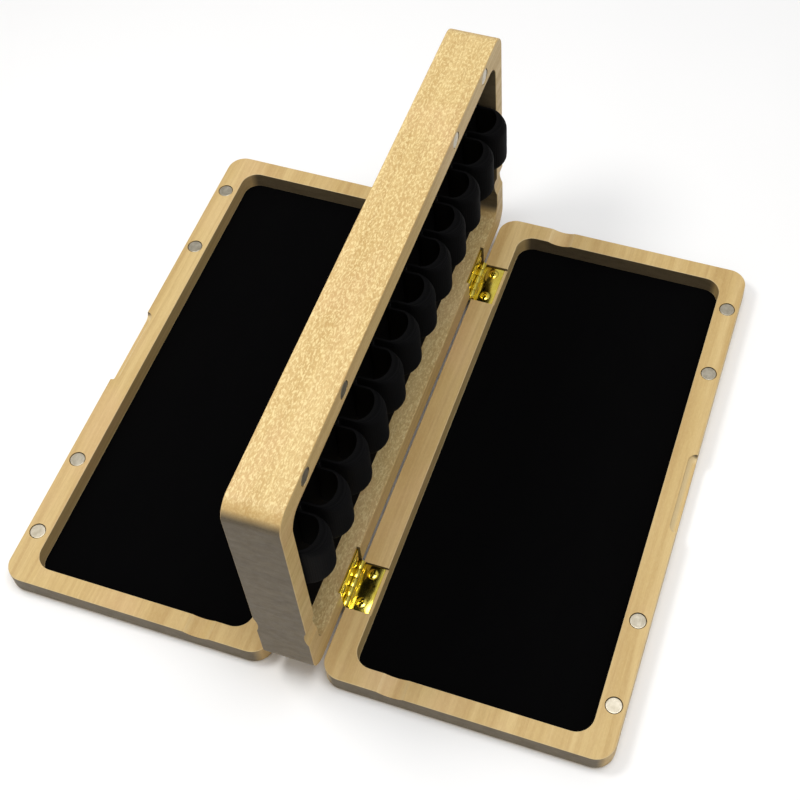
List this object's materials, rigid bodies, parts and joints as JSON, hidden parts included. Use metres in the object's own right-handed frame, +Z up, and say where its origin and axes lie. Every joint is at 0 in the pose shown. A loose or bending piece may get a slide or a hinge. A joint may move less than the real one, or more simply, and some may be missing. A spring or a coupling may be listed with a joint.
{
  "type": "fountain pen case",
  "caption": "Folding wooden pen case: a standing middle leaf with pen loops on both faces and two shallow hinged covers with magnets.",
  "frame": {"origin": "centre of the footprint on the table, under the middle leaf", "axes": "+X across to the right-hand cover's free edge, +Y along the spine, +Z up along the standing middle leaf"},
  "size_m": [0.3818, 0.36, 0.1899],
  "materials": {
    "maple": "satin oiled maple",
    "velvet": "black velvet lining",
    "webbing": "black elastic webbing",
    "brass": "polished brass",
    "nickel": "nickel-plated magnet"
  },
  "bodies": {
    "middle_leaf": {"middle_frame": "maple", "divider_board": "maple", "right_divider_lining": "velvet", "right_loop_band": "webbing", "right_middle_magnet_1": "nickel", "right_middle_magnet_2": "nickel", "right_middle_magnet_3": "nickel", "right_middle_magnet_4": "nickel", "right_near_hinge_middle_leaf": "brass", "right_near_hinge_pin": "brass", "right_near_middle_screw_a": "brass", "right_near_middle_screw_b": "brass", "right_far_hinge_middle_leaf": "brass", "right_far_hinge_pin": "brass", "right_far_middle_screw_a": "brass", "right_far_middle_screw_b": "brass", "left_divider_lining": "velvet", "left_loop_band": "webbing", "left_middle_magnet_1": "nickel", "left_middle_magnet_2": "nickel", "left_middle_magnet_3": "nickel", "left_middle_magnet_4": "nickel", "left_near_hinge_middle_leaf": "brass", "left_near_hinge_pin": "brass", "left_near_middle_screw_a": "brass", "left_near_middle_screw_b": "brass", "left_far_hinge_middle_leaf": "brass", "left_far_hinge_pin": "brass", "left_far_middle_screw_a": "brass", "left_far_middle_screw_b": "brass"},
    "right_cover": {"right_cover": "maple", "right_cover_lining": "velvet", "right_cover_magnet_1": "nickel", "right_cover_magnet_2": "nickel", "right_cover_magnet_3": "nickel", "right_cover_magnet_4": "nickel", "right_near_hinge_cover_leaf": "brass", "right_near_cover_screw_a": "brass", "right_near_cover_screw_b": "brass", "right_far_hinge_cover_leaf": "brass", "right_far_cover_screw_a": "brass", "right_far_cover_screw_b": "brass"},
    "left_cover": {"left_cover": "maple", "left_cover_lining": "velvet", "left_cover_magnet_1": "nickel", "left_cover_magnet_2": "nickel", "left_cover_magnet_3": "nickel", "left_cover_magnet_4": "nickel", "left_near_hinge_cover_leaf": "brass", "left_near_cover_screw_a": "brass", "left_near_cover_screw_b": "brass", "left_far_hinge_cover_leaf": "brass", "left_far_cover_screw_a": "brass", "left_far_cover_screw_b": "brass"}
  },
  "joints": [
    {"name": "right_cover_hinge", "type": "hinge", "parent": "middle_leaf", "child": "right_cover", "pos_m": [0.0162, 0, 0.0152], "axis": [0, -1, 0], "range_deg": [-90, 90]},
    {"name": "left_cover_hinge", "type": "hinge", "parent": "middle_leaf", "child": "left_cover", "pos_m": [-0.0162, 0, 0.0152], "axis": [0, 1, 0], "range_deg": [-90, 90]}
  ]
}
